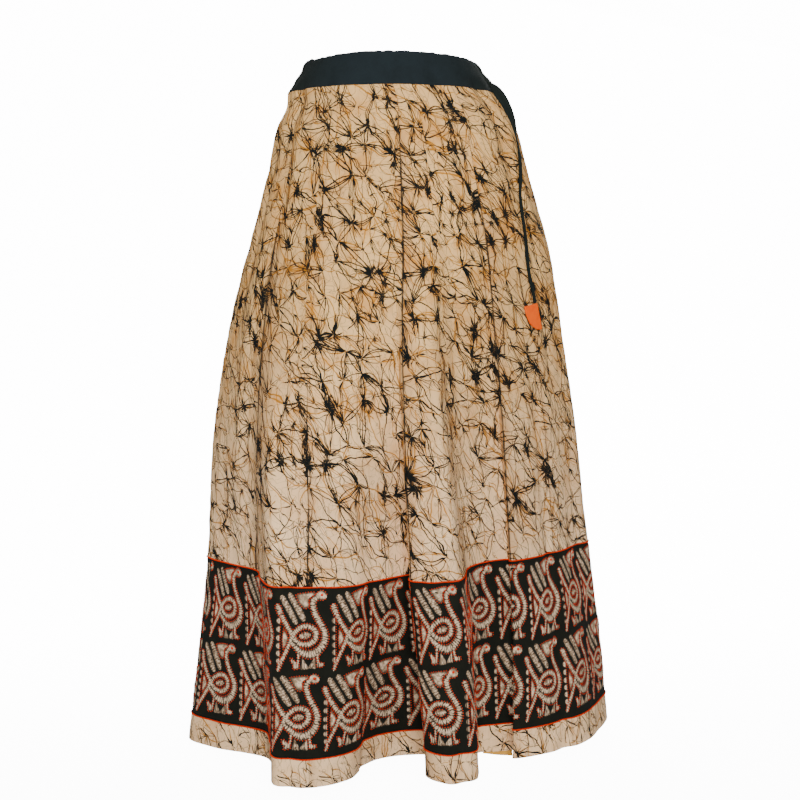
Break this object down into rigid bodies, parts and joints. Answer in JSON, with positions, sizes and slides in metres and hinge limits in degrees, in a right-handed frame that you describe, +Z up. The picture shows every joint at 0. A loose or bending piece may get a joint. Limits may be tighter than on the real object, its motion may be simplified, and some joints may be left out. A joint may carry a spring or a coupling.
{
  "type": "batik skirt",
  "caption": "Full-length gathered skirt of crackle batik with a dark figured border, elastic-backed waistband and hanging tie, filled out as worn and open at waist and hem.",
  "frame": {"origin": "middle of the waist opening, at half the waistband's height", "axes": "+Z up, the skirt's front faces -Y, +X is to the right of someone who looks at the front"},
  "size_m": [0.5855, 0.5162, 0.9218],
  "materials": {
    "crackle_cloth": "matt cotton, wax-resist crackle in dark brown and ochre on tan",
    "border_cloth": "matt cotton, near-black ground with grey-beige figures and red running stitches",
    "waistband_cloth": "smooth matt dark cotton",
    "facing_cloth": "matt tan cotton",
    "tab_cloth": "matt orange cotton"
  },
  "bodies": {
    "root": {"waistband_front": "waistband_cloth", "waistband_back": "waistband_cloth", "skirt_front": "crackle_cloth", "skirt_back": "crackle_cloth", "border_front": "border_cloth", "border_back": "border_cloth", "hem_front": "crackle_cloth", "hem_back": "crackle_cloth", "hem_facing": "facing_cloth", "tie_cord": "waistband_cloth", "tie_tab": "tab_cloth"}
  },
  "joints": []
}
